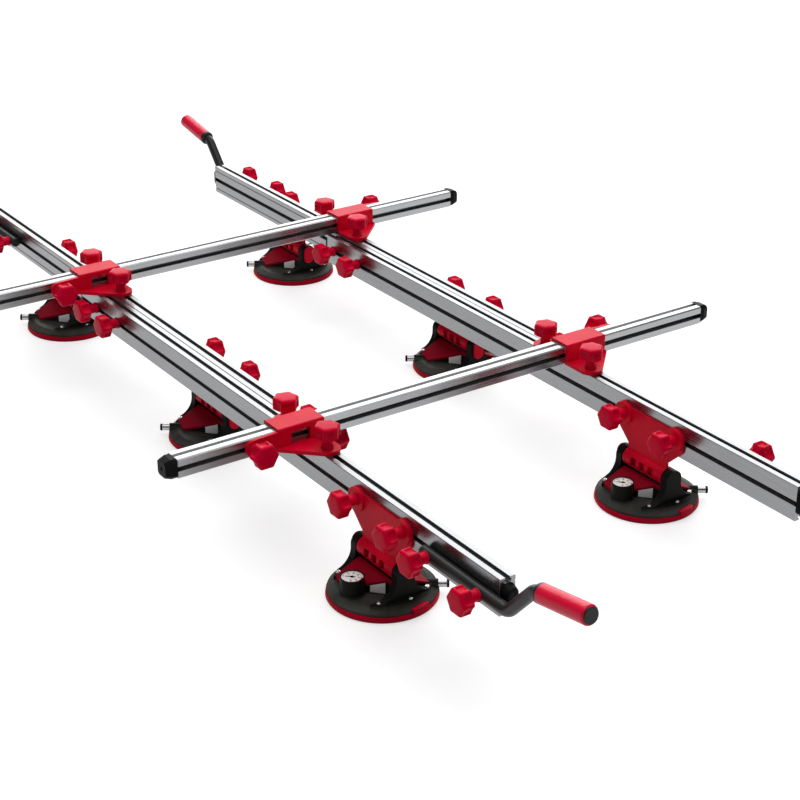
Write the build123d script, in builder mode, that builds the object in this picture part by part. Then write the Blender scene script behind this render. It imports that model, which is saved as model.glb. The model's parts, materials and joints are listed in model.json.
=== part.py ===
from build123d import *
import os
from functools import cache
from math import cos, radians, sin, tan

# Slots that every aluminium profile shares
slot_mouth = 8.4
slot_undercut = 2.3
slot_lip = 3
slot_straight = 3.5
slot_bevel = 2.5

# Rail profiles, two lying side by side in each rail
rail_width = 28
rail_height = 60
rail_overhang = 292
rail_tail = 424
rail_stagger = 39
rail_edge = 0.8
core_share = 0.53
groove_inset = 9.5
groove_width = 1.8
groove_depth = 1.2
pair_gap = 0.3
pair_spacing = 538
pair_shift = -15

# Crossbars
bar_size = 33
bar_length = 1076
bar_edge = 2
bar_core_radius = 4
bar_stations = {"front": 382, "rear": 399}

# Clearances
slide_gap = 0.3
running_gap = 0.05
seat_gap = 0.2

# Plugs and caps at the profiles' ends
plug_side_inset = 0.6
plug_end_inset = 9
plug_corner = 12
plug_length = 15
plug_taper = 14
plug_edge = 4
plug_hole_depth = 5
peg_length = 14
cap_collar = 9
cap_nose = 11
cap_corner = 6
cap_taper = 18
cap_hole_radius = 3
cap_hole_depth = 9

# Knobs with their studs and nuts
knob_radius = 22.5
knob_corner = 6
knob_length = 26
knob_edge = 4
knob_hub_radius = 9
knob_hub_length = 14

# Places along a rail: the cup from the middle of the lifter, the locking knobs from the profile's tail
cup_station = 620
lock_insets = (150, 60)

# Vacuum pad
pad_radius = 88.5
pad_height = 10
pad_draft = 1
lip_bevel = 2
lip_rise = 3
lip_width = 8
recess_slope = 8
recess_height = 6
tab_angle = 99
tab_width = 32
tab_depth = 6.5
tab_rise = 6

# Cup housing
disc_inset = 1.5
disc_edge = 4
deck_slope = 13
deck_rise = 9.5
foot_inset = 10
foot_rise = 5.5
ear_inset = 12
ear_thickness = 13.5
ear_radius = 16
ear_shank = 6
ear_wall = 3.5
hinge_rise = 45

# Hinge pin and its keeper plate
pin_radius = 7
keeper_width = 22
keeper_length = 37
keeper_thickness = 4
keeper_drop = 4.5

# Bridge cover between the ears
bridge_inset = 13
bridge_corner_inset = 6
bridge_low_side = 17
bridge_high_side = 34
bridge_step = 14
bridge_end_gap = 1.5
bridge_ridge = 10
bridge_thickness = 4
bridge_headroom = 1.5

# Vacuum gauge
gauge_radius = 19
gauge_inset = 5
gauge_height = 28
gauge_bezel = 2
gauge_recess = 1.5
gauge_seat_rise = 2
gauge_seat_margin = 1

# Pump and plunger
pump_angle = 146
boss_wall = 1.5
boss_start = 40
plunger_radius = 6
plunger_length = 68
plunger_travel = 10
plunger_exposed = 17
plunger_edge = 1

# Cup bracket
bracket_thickness = 8
bracket_web = 4
bracket_head = 14
bracket_head_corner = 8
bracket_lobe_radius = 20
bracket_shoulder = 18
bracket_waist = 20
bracket_drop = 45
bracket_flare = 34
bracket_corner = 12
bracket_knob_inset = 19.5
barrel_radius = 16
barrel_end_gap = 2.5
barrel_window_width = 14
barrel_window_height = 15.5
barrel_window_wall = 2
barrel_window_pitch = 21
barrel_window_count = 3

# Cross clamp
clamp_wall = 6
clamp_roof = 4
clamp_fold = 3
clamp_back = 65
clamp_front = 20
arm_reach = 108
arm_lift = 1.8
lug_run = 40
lug_radius = 21
lug_thickness = 6
lug_flare = 70
clamp_window_start = 41
clamp_window_end = 6
clamp_window_head = 5
clamp_window_corner = 3

# Carrying handle
handle_radius = 10
handle_lead = 170
handle_bend_start = 34
handle_arm_run = 56
handle_arm_angle = 48
handle_bend_radius = 26
handle_edge = 4
handle_spot_depth = 1
handle_knobs = (25, 150)
grip_angle = 10
grip_collar = 9
grip_length = 98.5
grip_radius = 15
grip_edge = 4
grip_cap_radius = 12.5
grip_cap_seat = 6
grip_cap_proud = 1.5

# Values of the profiles and knobs that follow from the ones above
slot_channel = slot_mouth + 2 * slot_undercut
slot_depth = slot_lip + slot_straight + slot_bevel
stud_radius = slot_mouth / 2 - seat_gap
hole_radius = slot_mouth / 2
nut_size = slot_channel - 2 * slide_gap
nut_thickness = slot_straight - 2 * slide_gap
core_space = rail_height / 2 - slot_depth - slot_channel / 2
core_radius = core_share * core_space / 2
core_offset = slot_channel / 2 + core_space / 2
groove_offset = rail_height / 2 - groove_inset
mating_face = pair_gap / 2
outer_face = mating_face + rail_width
rail_middle = mating_face + rail_width / 2
rail_reach = cup_station + rail_overhang
lock_stations = [inset - rail_tail for inset in lock_insets]
bar_middle = slide_gap + bar_size / 2

# Values of the cup that follow
pad_shoulder = pad_radius - pad_draft
lip_outer = pad_radius - lip_bevel
lip_inner = lip_outer - lip_width
recess_radius = lip_inner - recess_slope
disc_radius = pad_shoulder - disc_inset
deck_radius = disc_radius - deck_slope
deck_height = pad_height + deck_rise
foot_radius = disc_radius - foot_inset
foot_height = deck_height + foot_rise
hinge_height = deck_height + hinge_rise
ear_outer = foot_radius - ear_inset
ear_inner = ear_outer - ear_thickness
ear_flank = hinge_height - foot_height - ear_shank
pin_seat = ear_thickness - ear_wall
bridge_reach = deck_radius - bridge_inset
bridge_corner = bridge_reach - bridge_corner_inset
bridge_half = ear_inner - bridge_end_gap
bridge_rise = hinge_rise - barrel_radius - bridge_headroom - bridge_thickness
gauge_offset = bridge_reach - gauge_inset
gauge_seat = deck_height + gauge_seat_rise
boss_radius = plunger_radius + boss_wall
pump_height = pad_height + boss_radius + slide_gap
pump_direction = Vector(cos(radians(pump_angle)), sin(radians(pump_angle)))
pump_plane = Plane((0, 0, pump_height), z_dir=pump_direction)
plunger_tip = disc_radius + plunger_exposed

# Values of the bracket, clamp and handle that follow
rail_bottom = hinge_height + bracket_drop
rail_top = rail_bottom + rail_height
slot_height = rail_bottom + rail_height / 2
bracket_half_neck = ear_inner - barrel_end_gap
bracket_half_width = bracket_half_neck + bracket_flare
bracket_knob_offset = bracket_half_width - bracket_knob_inset
barrel_window_depth = barrel_radius - pin_radius - barrel_window_wall
clamp_inner = bar_size / 2 + slide_gap
clamp_outer = clamp_inner + clamp_wall
clamp_under_roof = bar_size + 2 * slide_gap
clamp_window_top = clamp_under_roof - clamp_window_head
lug_reach = clamp_outer + lug_run
arm_radius = bar_middle - arm_lift
handle_rise = handle_arm_run * tan(radians(handle_arm_angle))
grip_direction = Vector(0, cos(radians(grip_angle)), sin(radians(grip_angle)))
collar_lead = handle_bend_radius * tan(radians(handle_arm_angle - grip_angle) / 2) + seat_gap
grip_lead = collar_lead + grip_collar
grip_cap_lead = grip_lead + grip_length - grip_cap_seat


def slotted_section(width, height, edge):
    """Draws a rectangular profile with a slot in each of its four sides in the open sketch."""
    Rectangle(width, height)
    chamfer(vertices(), edge)
    for turn, span in ((0, width), (90, height), (180, width), (270, height)):
        with Locations(Rotation(0, 0, turn) * Pos(span / 2, 0)):
            Rectangle(slot_depth, slot_mouth, align=(Align.MAX, Align.CENTER), mode=Mode.SUBTRACT)
            Polygon(
                (-slot_lip, slot_channel / 2),
                (-slot_lip - slot_straight, slot_channel / 2),
                (-slot_depth, slot_mouth / 2),
                (-slot_depth, -slot_mouth / 2),
                (-slot_lip - slot_straight, -slot_channel / 2),
                (-slot_lip, -slot_channel / 2),
                align=None,
                mode=Mode.SUBTRACT,
            )


def rail_profile(free_end):
    """One rail profile, with grooves in its mating face and holes for the locking studs."""
    section = Plane((rail_middle, free_end, slot_height), x_dir=(1, 0, 0), z_dir=(0, -1, 0))
    with BuildPart() as profile:
        with BuildSketch(section):
            slotted_section(rail_width, rail_height, rail_edge)
            with Locations((0, core_offset), (0, -core_offset)):
                Circle(core_radius, mode=Mode.SUBTRACT)
            with Locations((-rail_width / 2, groove_offset), (-rail_width / 2, -groove_offset)):
                Rectangle(2 * groove_depth, groove_width, mode=Mode.SUBTRACT)
        extrude(amount=rail_reach + rail_tail)
        with Locations([(rail_middle, station, slot_height) for station in lock_stations]):
            Cylinder(hole_radius, rail_width, rotation=(0, 90, 0), mode=Mode.SUBTRACT)
    return profile.part


def end_plug():
    """A rounded plug on a rail profile, with pegs in the core bores, facing up from Z = 0."""
    with BuildPart() as plug:
        with BuildSketch():
            RectangleRounded(rail_width - 2 * plug_side_inset, rail_height - 2 * plug_end_inset, plug_corner)
        extrude(amount=plug_length, taper=plug_taper)
        fillet(plug.faces().sort_by(Axis.Z)[-1].edges(), plug_edge)
        with BuildSketch(Plane.XY.offset(plug_length)):
            Circle(cap_hole_radius)
        extrude(amount=-plug_hole_depth, mode=Mode.SUBTRACT)
        with BuildSketch():
            with Locations((0, core_offset), (0, -core_offset)):
                Circle(core_radius - running_gap)
        extrude(amount=-peg_length)
    return plug.part


def bar_cap():
    """A tapered cap for a crossbar, with a peg in the core bore and a screw hole in its nose."""
    with BuildPart() as cap:
        with BuildSketch():
            Rectangle(bar_size, bar_size)
            chamfer(vertices(), cap_corner)
        extrude(amount=cap_collar)
        with BuildSketch(Plane.XY.offset(cap_collar)):
            Rectangle(bar_size, bar_size)
            chamfer(vertices(), cap_corner)
        extrude(amount=cap_nose, taper=cap_taper)
        with BuildSketch():
            Circle(bar_core_radius - running_gap)
        extrude(amount=-peg_length)
        with BuildSketch(Plane.XY.offset(cap_collar + cap_nose)):
            Circle(cap_hole_radius)
        extrude(amount=-cap_hole_depth, mode=Mode.SUBTRACT)
    return cap.part


@cache
def knob(stack):
    """A knob, its stud and its nut, clamping a stack of this thickness on a slotted face at Z = 0."""
    hub_top = stack + knob_hub_length
    nut_top = -slot_lip - slide_gap
    with BuildPart() as handwheel:
        with BuildSketch(Plane.XY.offset(hub_top)):
            RegularPolygon(knob_radius, 6)
            fillet(vertices(), knob_corner)
        extrude(amount=knob_length)
        chamfer(handwheel.faces().sort_by(Axis.Z)[-1].edges(), knob_edge)
        with BuildSketch(Plane.XY.offset(stack)):
            Circle(knob_hub_radius)
        extrude(amount=knob_hub_length)
        with BuildSketch(Plane.XY.offset(stack)):
            Circle(stud_radius)
        extrude(amount=nut_top - nut_thickness - stack)
    with BuildPart() as nut:
        with BuildSketch(Plane.XY.offset(nut_top)):
            Rectangle(nut_size, nut_size)
            Circle(stud_radius + running_gap, mode=Mode.SUBTRACT)
        extrude(amount=-nut_thickness)
    return [handwheel.part, nut.part]


def cross_clamp():
    """A clamp over a crossbar: X along the bar, the rail's slot at X = Y = 0, the rail's top at Z = 0."""
    roof_top = clamp_under_roof + clamp_roof
    with BuildPart() as clamp:
        with BuildSketch(Plane.YZ.offset(-clamp_back)):
            Rectangle(2 * clamp_outer, roof_top, align=(Align.CENTER, Align.MIN))
            fillet(vertices().group_by(Axis.Y)[-1], clamp_fold)
            Rectangle(
                2 * clamp_inner,
                clamp_under_roof,
                align=(Align.CENTER, Align.MIN),
                mode=Mode.SUBTRACT,
            )
        extrude(amount=clamp_back + clamp_front)
        with BuildSketch(Plane.XZ.offset(clamp_inner)):
            with Locations((-arm_reach, bar_middle)):
                Circle(arm_radius)
            with Locations((-clamp_back, 0)):
                Rectangle(clamp_wall, clamp_under_roof, align=Align.MIN)
            make_hull()
        extrude(amount=clamp_wall)
        for side in (-1, 1):
            with BuildSketch():
                with Locations((0, side * lug_reach)):
                    Circle(lug_radius)
                with Locations((clamp_front, side * (clamp_inner + clamp_wall / 2))):
                    Rectangle(clamp_front + lug_flare, clamp_wall, align=(Align.MAX, Align.CENTER))
                make_hull()
            extrude(amount=lug_thickness)
        with Locations((0, lug_reach), (0, -lug_reach)):
            Hole(hole_radius)
        with BuildSketch(Plane.XZ.offset(clamp_inner)):
            with Locations((-arm_reach, bar_middle)):
                Circle(hole_radius)
            with Locations((-clamp_window_end, lug_thickness)):
                RectangleRounded(
                    clamp_window_start - clamp_window_end,
                    clamp_window_top - lug_thickness,
                    clamp_window_corner,
                    align=(Align.MAX, Align.MIN),
                )
        extrude(amount=clamp_wall, mode=Mode.SUBTRACT)
    return clamp.part


def clamp_knob_places():
    """The clamp's knobs: two into the rail's top slot and one into the crossbar's side slot."""
    return [
        (Location((0, lug_reach, 0)), lug_thickness),
        (Location((0, -lug_reach, 0)), lug_thickness),
        (Location((-arm_reach, -bar_size / 2, bar_middle), (90, 0, 0)), slide_gap + clamp_wall),
    ]


def grip_plane(side, distance):
    """The plane across the grip's axis, this far beyond the upper bend."""
    bend = Vector(side * (handle_radius + seat_gap), handle_bend_start + handle_arm_run, handle_rise)
    return Plane(bend + grip_direction * distance, x_dir=(1, 0, 0), z_dir=grip_direction)


def handle_bar(side):
    """A bent bar against the rail's face at X = 0, on this side of it, with Y = 0 at the rail's end."""
    axis_x = side * (handle_radius + seat_gap)
    tail = Vector(axis_x, -handle_lead, 0)
    tip = grip_plane(side, grip_cap_lead - seat_gap).origin
    with BuildPart() as bar:
        with BuildLine() as route:
            FilletPolyline(
                tail,
                (axis_x, handle_bend_start, 0),
                grip_plane(side, 0).origin,
                tip,
                radius=handle_bend_radius,
            )
        with BuildSketch(Plane(tail, z_dir=(0, 1, 0))):
            Circle(handle_radius)
        sweep(path=route.line)
        fillet(bar.faces().sort_by(Axis.Y)[0].edges(), handle_edge)
        for distance in handle_knobs:
            with Locations((axis_x, -distance, 0)):
                Cylinder(hole_radius, 3 * handle_radius, rotation=(0, 90, 0), mode=Mode.SUBTRACT)
            with Locations((axis_x + side * handle_radius, -distance, 0)):
                Cylinder(
                    knob_hub_radius + seat_gap,
                    2 * handle_spot_depth,
                    rotation=(0, 90, 0),
                    mode=Mode.SUBTRACT,
                )
    return bar.part


def handle_collar(side):
    """The ring on a handle bar that the grip is pushed against."""
    with BuildPart() as collar:
        with BuildSketch(grip_plane(side, collar_lead)):
            Circle(grip_radius)
        extrude(amount=grip_collar)
        fillet(collar.faces().sort_by(Axis.Y)[0].edges(), grip_edge)
        with BuildSketch(grip_plane(side, collar_lead)):
            Circle(handle_radius + running_gap)
        extrude(amount=grip_collar, mode=Mode.SUBTRACT)
    return collar.part


def handle_cap(side):
    """The cap that closes the grip's far end."""
    with BuildPart() as cap:
        with BuildSketch(grip_plane(side, grip_cap_lead)):
            Circle(grip_cap_radius)
        extrude(amount=grip_cap_seat + grip_cap_proud)
        fillet(cap.faces().sort_by(Axis.Y)[-1].edges(), grip_cap_proud)
    return cap.part


def handle_grip(side):
    """The sleeve that the hand closes on."""
    with BuildPart() as grip:
        with BuildSketch(grip_plane(side, grip_lead)):
            Circle(grip_radius)
        extrude(amount=grip_length)
        fillet(grip.faces().sort_by(Axis.Y)[-1].edges(), grip_edge)
        with BuildSketch(grip_plane(side, grip_lead)):
            Circle(handle_radius + running_gap)
        extrude(amount=grip_length, mode=Mode.SUBTRACT)
        with BuildSketch(grip_plane(side, grip_cap_lead)):
            Circle(grip_cap_radius + running_gap)
        extrude(amount=grip_cap_seat, mode=Mode.SUBTRACT)
    return grip.part


def cup_bracket():
    """The plate on a rail's face at X = 0 and the hinge barrel below the rail."""
    waist = rail_bottom - bracket_waist
    shoulder = slot_height - bracket_shoulder
    top = slot_height + bracket_head
    knob_spots = [(-bracket_knob_offset, slot_height), (bracket_knob_offset, slot_height)]
    with BuildPart() as bracket:
        with BuildSketch(Plane.YZ):
            with BuildLine():
                Polyline(
                    (-bracket_half_neck, hinge_height),
                    (-bracket_half_neck, waist),
                    (-bracket_half_width, shoulder),
                    (-bracket_half_width, top),
                    (bracket_half_width, top),
                    (bracket_half_width, shoulder),
                    (bracket_half_neck, waist),
                    (bracket_half_neck, hinge_height),
                    close=True,
                )
            make_face()
            fillet(vertices().filter_by_position(Axis.Y, shoulder, top), bracket_corner)
            with Locations(*knob_spots):
                Circle(bracket_lobe_radius)
            inner_corners = vertices().filter_by_position(Axis.Y, top - seat_gap, top + seat_gap)
            fillet(inner_corners, bracket_head_corner)
        extrude(amount=bracket_web)
        with BuildSketch(Plane.YZ):
            with Locations(*knob_spots):
                Circle(bracket_lobe_radius)
        extrude(amount=bracket_thickness)
        with BuildSketch(Plane.XZ):
            with Locations((0, hinge_height)):
                Circle(barrel_radius)
        extrude(amount=bracket_half_neck, both=True)
        with BuildSketch(Plane.XZ):
            with Locations((0, hinge_height)):
                Circle(pin_radius + running_gap)
        extrude(amount=bracket_half_neck, both=True, mode=Mode.SUBTRACT)
        with Locations((barrel_radius, 0, hinge_height), (-barrel_radius, 0, hinge_height)):
            with GridLocations(0, barrel_window_pitch, 1, barrel_window_count):
                Box(
                    2 * barrel_window_depth,
                    barrel_window_width,
                    barrel_window_height,
                    mode=Mode.SUBTRACT,
                )
        with BuildSketch(Plane.YZ):
            with Locations(*knob_spots):
                Circle(hole_radius)
        extrude(amount=bracket_thickness, mode=Mode.SUBTRACT)
    return bracket.part


def hinge_pin():
    """The pin through the ears and the barrel, with the keeper plate outside one ear."""
    with BuildPart() as pin:
        with BuildSketch(Plane.XZ.offset(ear_outer + slide_gap)):
            with Locations((0, hinge_height)):
                Circle(pin_radius)
        extrude(amount=-(ear_outer + ear_inner + pin_seat))
        with BuildSketch(Plane.XZ.offset(ear_outer + slide_gap)):
            with Locations((0, hinge_height - keeper_drop)):
                SlotOverall(keeper_length, keeper_width, rotation=90)
        extrude(amount=keeper_thickness)
    return pin.part


def gable(rise):
    """The space under a gabled roof across the cup, in the skewed plan between the ears."""
    eaves = deck_height + rise
    ridge = eaves + bridge_rise
    with BuildPart() as roof:
        with BuildSketch(Plane.XZ):
            with BuildLine():
                Polyline(
                    (-bridge_reach, pad_height),
                    (-bridge_reach, eaves),
                    (-bridge_ridge, ridge),
                    (bridge_ridge, ridge),
                    (bridge_reach, eaves),
                    (bridge_reach, pad_height),
                    close=True,
                )
            make_face()
        extrude(amount=bridge_half, both=True)
        with BuildSketch(Plane.XY.offset(pad_height)):
            with BuildLine():
                Polyline(
                    (-bridge_corner, bridge_half),
                    (-bridge_reach, bridge_low_side),
                    (-bridge_step, -bridge_high_side),
                    (-bridge_step, -bridge_half),
                    (bridge_corner, -bridge_half),
                    (bridge_reach, -bridge_low_side),
                    (bridge_step, bridge_high_side),
                    (bridge_step, bridge_half),
                    close=True,
                )
            make_face()
            with Locations((gauge_offset, 0)):
                Circle(gauge_radius + gauge_seat_margin, mode=Mode.SUBTRACT)
        extrude(amount=ridge, mode=Mode.INTERSECT)
    return roof.part


def cup_ears():
    """The two hinge ears, flared down to the deck and trimmed to the round foot plates."""
    with BuildPart() as ears:
        flank_top = foot_height + ear_flank
        for middle in (-ear_inner - ear_thickness / 2, ear_inner + ear_thickness / 2):
            with BuildSketch(Plane.XZ.offset(middle)):
                with BuildLine():
                    over = ThreePointArc(
                        (ear_radius, hinge_height),
                        (0, hinge_height + ear_radius),
                        (-ear_radius, hinge_height),
                    )
                    left = CenterArc((-ear_radius - ear_flank, flank_top), ear_flank, 0, -90)
                    right = CenterArc((ear_radius + ear_flank, flank_top), ear_flank, 180, 90)
                    Line(over @ 0, right @ 0)
                    Line(over @ 1, left @ 0)
                    Polyline(
                        left @ 1,
                        (-ear_radius - ear_flank, pad_height),
                        (ear_radius + ear_flank, pad_height),
                        right @ 1,
                    )
                make_face()
            extrude(amount=ear_thickness / 2, both=True)
        with BuildSketch():
            Circle(foot_radius)
        extrude(amount=hinge_height + ear_radius, mode=Mode.INTERSECT)
    return ears.part


def cup_housing():
    """The disc that carries the pad, with its ears, the block under the bridge and the pump's bore."""
    with BuildPart() as housing:
        with BuildSketch(Plane.XZ):
            with BuildLine():
                Polyline(
                    (0, pad_height),
                    (disc_radius, pad_height),
                    (disc_radius, pad_height + disc_edge),
                    (deck_radius, deck_height),
                    (0, deck_height),
                    close=True,
                )
            make_face()
        revolve(axis=Axis.Z)
        with BuildSketch(Plane.XY.offset(pad_height)):
            Circle(foot_radius)
            Rectangle(2 * foot_radius, 2 * ear_inner, mode=Mode.SUBTRACT)
        extrude(amount=foot_height - pad_height)
        add(cup_ears())
        add(gable(0))
        with BuildSketch(Plane.XY.offset(pad_height)):
            with Locations((gauge_offset, 0)):
                Circle(gauge_radius + gauge_seat_margin)
        extrude(amount=gauge_seat - pad_height)
        with BuildSketch(pump_plane.offset(boss_start)):
            Circle(boss_radius)
        extrude(amount=disc_radius - boss_start)
        with BuildSketch(Plane.XZ.offset(ear_outer)):
            with Locations((0, hinge_height)):
                Circle(pin_radius + running_gap)
        extrude(amount=-(ear_outer + ear_inner + pin_seat), mode=Mode.SUBTRACT)
        with BuildSketch(pump_plane.offset(plunger_tip)):
            Circle(plunger_radius + running_gap)
        extrude(amount=-(plunger_length + plunger_travel + seat_gap), mode=Mode.SUBTRACT)
        with BuildSketch(Plane.XY.offset(pad_height)):
            with Locations(Rotation(0, 0, tab_angle) * Pos(disc_radius, 0)):
                Rectangle(2 * tab_depth, tab_width + 2 * slide_gap)
        extrude(amount=deck_rise, mode=Mode.SUBTRACT)
    return housing.part


def cup_bridge():
    """The sloped cover over the block between the ears, notched for the pump's boss."""
    with BuildPart() as bridge:
        add(gable(bridge_thickness))
        add(gable(0), mode=Mode.SUBTRACT)
        with BuildSketch(pump_plane.offset(boss_start)):
            Circle(boss_radius + slide_gap)
        extrude(amount=disc_radius - boss_start, mode=Mode.SUBTRACT)
    return bridge.part


def cup_pad():
    """The rubber pad, hollow below inside its sealing lip, with a release tab on its rim."""
    with BuildPart() as pad:
        with BuildSketch(Plane.XZ):
            with BuildLine():
                Polyline(
                    (0, recess_height),
                    (recess_radius, recess_height),
                    (lip_inner, 0),
                    (lip_outer, 0),
                    (pad_radius, lip_rise),
                    (pad_shoulder, pad_height),
                    (0, pad_height),
                    close=True,
                )
            make_face()
        revolve(axis=Axis.Z)
        with BuildSketch(Plane.XY.offset(lip_rise)):
            with Locations(Rotation(0, 0, tab_angle) * Pos(disc_radius - tab_depth + slide_gap, 0)):
                Rectangle(pad_radius, tab_width, align=(Align.MIN, Align.CENTER))
            Circle(pad_radius, mode=Mode.INTERSECT)
        extrude(amount=pad_height + tab_rise - lip_rise)
    return pad.part


def cup_gauge():
    """The round gauge with its dial sunk inside the bezel."""
    gauge_top = gauge_seat + gauge_height
    with BuildPart() as gauge:
        with BuildSketch(Plane.XY.offset(gauge_seat)):
            with Locations((gauge_offset, 0)):
                Circle(gauge_radius)
        extrude(amount=gauge_height)
        with BuildSketch(Plane.XY.offset(gauge_top)):
            with Locations((gauge_offset, 0)):
                Circle(gauge_radius - gauge_bezel)
        extrude(amount=-gauge_recess, mode=Mode.SUBTRACT)
    return gauge.part


def cup_plunger():
    """The pump's plunger, standing out of its bore."""
    with BuildPart() as plunger:
        with BuildSketch(pump_plane.offset(plunger_tip)):
            Circle(plunger_radius)
        extrude(amount=-plunger_length)
        along = Axis(pump_plane.origin, pump_direction)
        chamfer(plunger.faces().sort_by(along)[-1].edges(), plunger_edge)
    return plunger.part


def knob_places(cups, free_end, handle_side):
    """A profile's bracket, locking and handle knobs, each with the thickness that it clamps."""
    outwards = (0, 90, 0)
    places = []
    for station in cups:
        for offset in (-bracket_knob_offset, bracket_knob_offset):
            spot = Location((outer_face, station + offset, slot_height), outwards)
            places.append((spot, bracket_thickness))
    for station in lock_stations:
        spot = Location((-mating_face, station, slot_height), outwards)
        places.append((spot, pair_gap + rail_width))
    handle_face = outer_face if handle_side > 0 else mating_face
    for distance in handle_knobs:
        spot = Location((handle_face, free_end - distance, slot_height), (0, 90 * handle_side, 0))
        places.append((spot, seat_gap + 2 * handle_radius - handle_spot_depth))
    return places


os.makedirs("parts", exist_ok=True)

cup_pieces = {
    "housing": cup_housing(),
    "pad": cup_pad(),
    "bridge": cup_bridge(),
    "gauge": cup_gauge(),
    "plunger": cup_plunger(),
}

# Each profile is modelled with X from the pair plane to its outer face and Y towards its free end
for end, turn in (("front", 180), ("rear", 0)):
    bar_y = bar_stations[end] if end == "rear" else -bar_stations[end]
    for hand, side in (("left", -1), ("right", 1)):
        name = f"{end}_{hand}"
        place = Location((pair_shift + side * pair_spacing / 2, 0, 0), (0, 0, turn))
        outboard = (end == "rear") == (hand == "right")
        handle_side = 1 if outboard else -1
        shift = 0 if outboard else rail_stagger
        free_end = rail_reach + shift
        tail_end = shift - rail_tail
        cups = {"front": {"front": cup_station}, "rear": {"middle": 0, "rear": cup_station}}[end]
        handle_place = Location((outer_face if outboard else mating_face, free_end, slot_height))
        clamp_place = Location((rail_middle, bar_stations[end], rail_top), (0, 0, 180 if outboard else 0))

        with BuildPart() as rail:
            with Locations(place):
                add(rail_profile(free_end))
        rail.part.label = f"{name}_rail"
        export_step(rail.part, f"parts/{name}_rail.step")

        with BuildPart() as plugs:
            with Locations(
                place * Location((rail_middle, free_end, slot_height), (-90, 0, 0)),
                place * Location((rail_middle, tail_end, slot_height), (90, 0, 0)),
            ):
                add(end_plug())
            if hand == "left":
                for tip in (-1, 1):
                    with Locations(
                        Location((tip * bar_length / 2, bar_y, rail_top + bar_middle), (0, 90 * tip, 0))
                    ):
                        add(bar_cap())
        plugs.part.label = f"{name}_end_plugs"
        export_step(plugs.part, f"parts/{name}_end_plugs.step")

        with BuildPart() as clamp:
            with Locations(place * clamp_place):
                add(cross_clamp())
        clamp.part.label = f"{name}_cross_clamp"
        export_step(clamp.part, f"parts/{name}_cross_clamp.step")

        with BuildPart() as bar:
            with Locations(place * handle_place):
                add(handle_bar(handle_side))
                add(handle_collar(handle_side))
                add(handle_cap(handle_side))
        bar.part.label = f"{name}_handle_bar"
        export_step(bar.part, f"parts/{name}_handle_bar.step")

        with BuildPart() as grip:
            with Locations(place * handle_place):
                add(handle_grip(handle_side))
        grip.part.label = f"{name}_handle_grip"
        export_step(grip.part, f"parts/{name}_handle_grip.step")

        with BuildPart() as brackets:
            with Locations([place * Location((outer_face, station, 0)) for station in cups.values()]):
                add(cup_bracket())
                add(hinge_pin())
        brackets.part.label = f"{name}_cup_brackets"
        export_step(brackets.part, f"parts/{name}_cup_brackets.step")

        with BuildPart() as knobs:
            places = knob_places(cups.values(), free_end, handle_side)
            places += [(clamp_place * spot, stack) for spot, stack in clamp_knob_places()]
            for spot, stack in places:
                with Locations(place * spot):
                    add(knob(stack))
        knobs.part.label = f"{name}_clamp_knobs"
        export_step(knobs.part, f"parts/{name}_clamp_knobs.step")

        for row, station in cups.items():
            for piece, shape in cup_pieces.items():
                node = f"{row}_{hand}_cup_{piece}"
                with BuildPart() as cup:
                    with Locations(place * Location((outer_face, station, 0))):
                        add(shape)
                cup.part.label = node
                export_step(cup.part, f"parts/{node}.step")

    section = Plane((-bar_length / 2, bar_y, rail_top + bar_middle), x_dir=(0, 1, 0), z_dir=(1, 0, 0))
    with BuildPart() as crossbar:
        with BuildSketch(section):
            slotted_section(bar_size, bar_size, bar_edge)
            Circle(bar_core_radius, mode=Mode.SUBTRACT)
        extrude(amount=bar_length)
    crossbar.part.label = f"{end}_crossbar"
    export_step(crossbar.part, f"parts/{end}_crossbar.step")
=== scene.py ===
# %% [markdown]
# # Suction lifter
# Two telescoping rails and two crossbars, all slotted aluminium profiles, stand on six tilting vacuum
# cups, and a bent handle leaves each rail end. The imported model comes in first: every solid is at its
# real size and place, in metres, with X along the crossbars, Y along the rails and Z up. This script
# dresses it. Solids that have their final shape only get a finish, and the knobs, screws and dials are
# made finer here.

# %% Load the frame
import json
from math import cos, pi, radians, sin, sqrt, tan

import bmesh
import bpy
from mathutils import Euler, Matrix, Vector

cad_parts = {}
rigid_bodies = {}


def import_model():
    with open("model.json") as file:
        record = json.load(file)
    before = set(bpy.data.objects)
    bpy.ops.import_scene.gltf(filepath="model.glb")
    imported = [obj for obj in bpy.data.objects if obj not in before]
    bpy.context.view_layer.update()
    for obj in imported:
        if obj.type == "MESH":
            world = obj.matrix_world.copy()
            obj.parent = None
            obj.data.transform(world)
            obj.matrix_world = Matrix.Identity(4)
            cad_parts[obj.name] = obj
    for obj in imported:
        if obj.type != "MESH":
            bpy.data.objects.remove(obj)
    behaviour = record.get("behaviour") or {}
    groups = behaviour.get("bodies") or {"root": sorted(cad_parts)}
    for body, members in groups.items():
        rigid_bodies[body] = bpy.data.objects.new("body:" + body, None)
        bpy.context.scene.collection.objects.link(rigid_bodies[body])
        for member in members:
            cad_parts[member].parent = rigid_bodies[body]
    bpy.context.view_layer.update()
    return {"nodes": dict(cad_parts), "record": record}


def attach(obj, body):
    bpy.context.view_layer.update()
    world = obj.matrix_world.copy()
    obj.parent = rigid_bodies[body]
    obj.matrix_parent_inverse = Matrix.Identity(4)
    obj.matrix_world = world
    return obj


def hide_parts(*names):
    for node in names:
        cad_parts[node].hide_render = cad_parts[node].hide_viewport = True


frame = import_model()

nodes = frame["nodes"]
joints = frame["record"]["behaviour"]["joints"]
MM = 0.001

# %% [markdown]
# ## Colours and nodes
# Colours are written as sRGB hex values, the way a colour picker shows them, and one function turns them
# into the linear light that Blender's sockets expect. Every node, in a material or in a Geometry Nodes
# tree, is added by one helper that also sets its values and links, so that a tree reads as a list of
# steps.

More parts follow.
